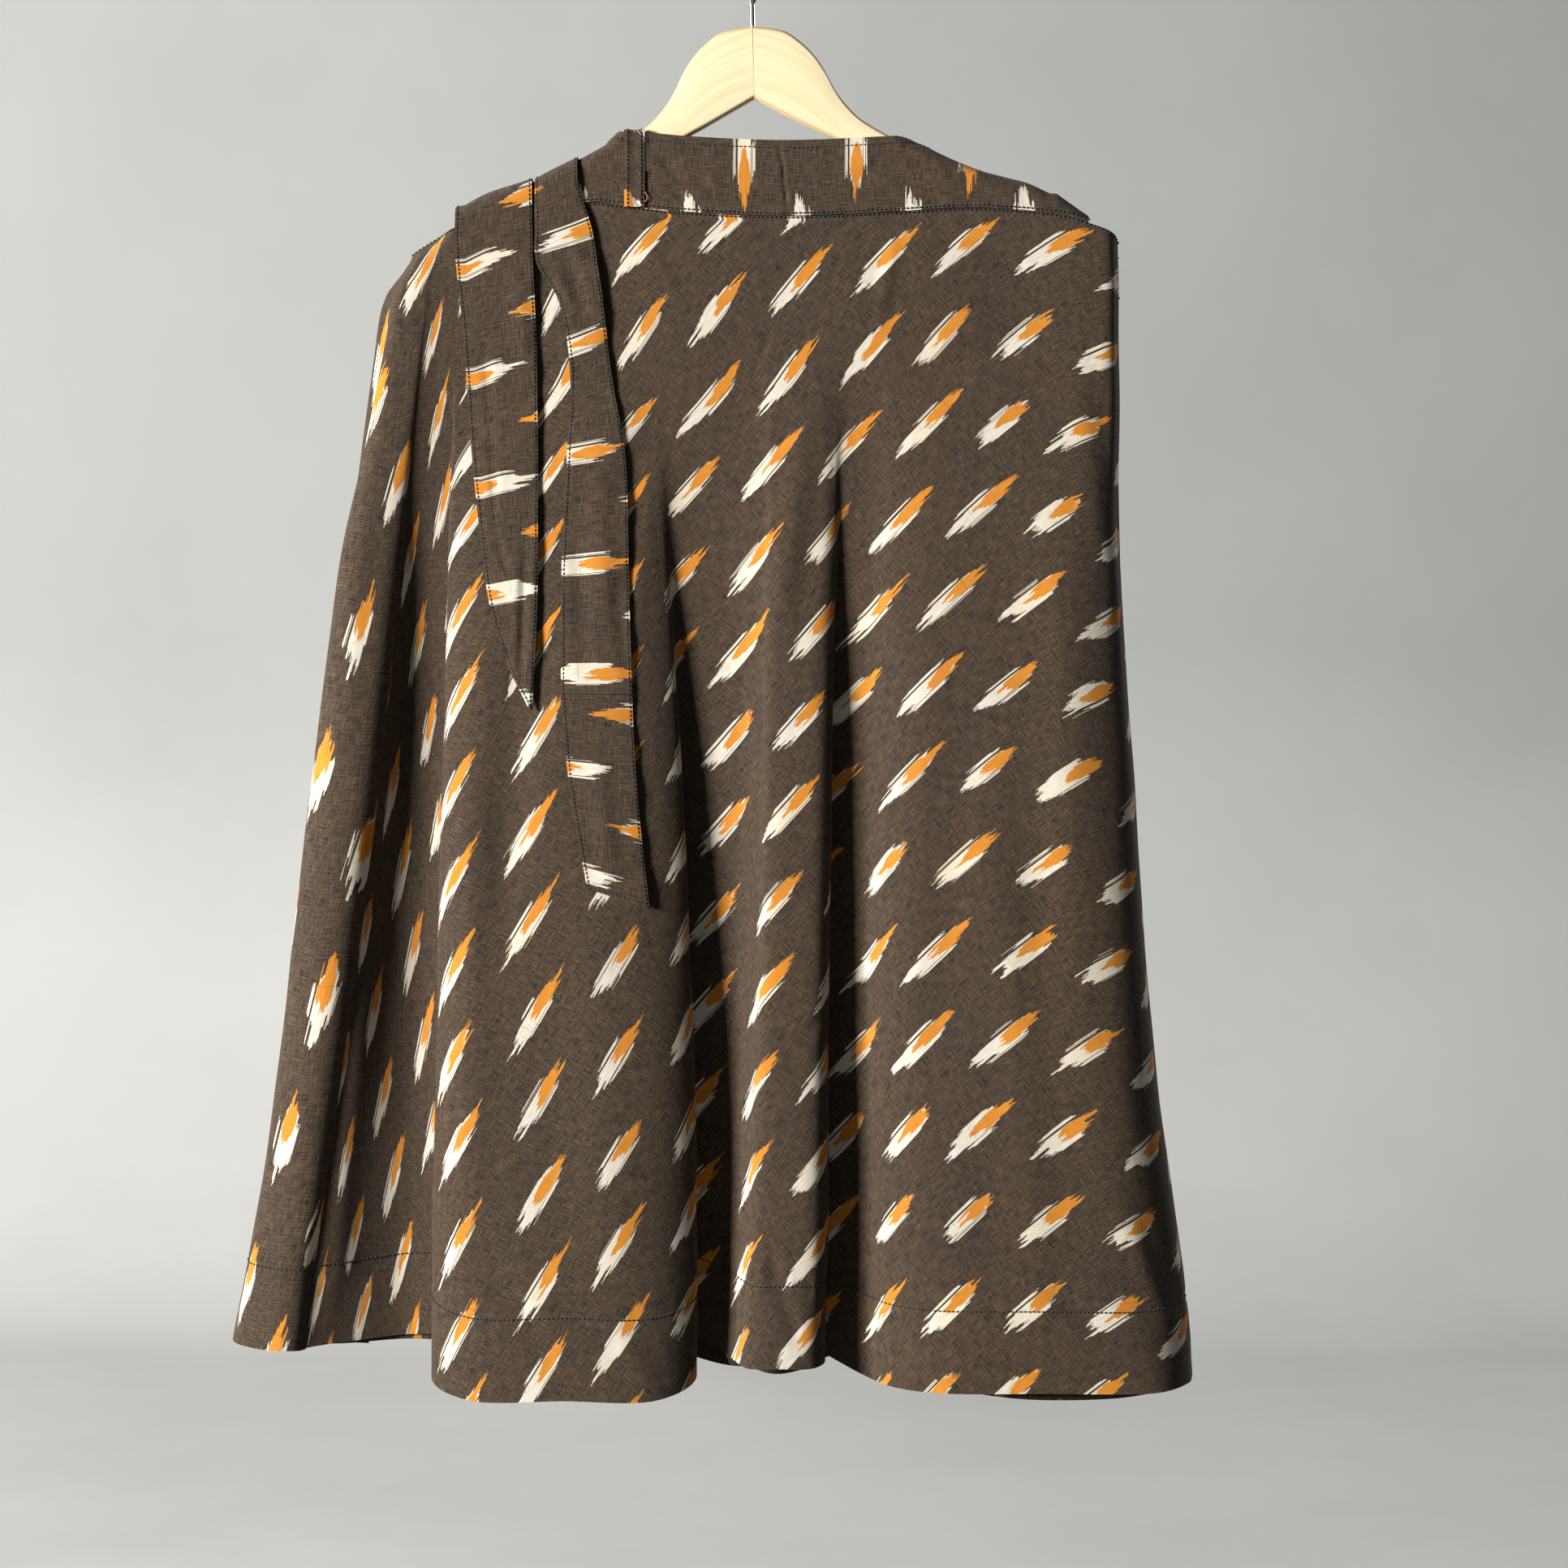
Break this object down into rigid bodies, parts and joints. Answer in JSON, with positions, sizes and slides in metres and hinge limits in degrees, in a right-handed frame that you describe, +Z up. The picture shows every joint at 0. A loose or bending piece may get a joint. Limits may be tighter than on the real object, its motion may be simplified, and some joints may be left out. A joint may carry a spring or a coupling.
{
  "type": "wrap skirt on a wooden hanger",
  "caption": "Flared cotton wrap skirt with hanging front folds, waistband, belt loop and long ties, hung by its waist on a V-shaped wooden hanger with a wire hook.",
  "frame": {"origin": "inside top of the hook, where a rail carries the hanger", "axes": "+Z up, from hem to hook; -Y is the front of the skirt; +X is to the right as seen from the front"},
  "size_m": [0.6505, 0.0942, 0.9992],
  "materials": {
    "ikat_cotton": "matt handloom cotton, brown and black yarns with white and orange ikat dashes",
    "hanger_wood": "pale satin wood",
    "hook_steel": "bright plated wire"
  },
  "bodies": {
    "root": {"hanger_arm_left": "hanger_wood", "hanger_arm_right": "hanger_wood", "hanger_hook": "hook_steel", "wrap_front": "ikat_cotton", "wrap_under": "ikat_cotton", "skirt_back": "ikat_cotton", "waistband_front": "ikat_cotton", "waistband_back": "ikat_cotton", "belt_loop": "ikat_cotton", "tie_left": "ikat_cotton", "tie_right": "ikat_cotton", "tie_right_end": "ikat_cotton"}
  },
  "joints": []
}
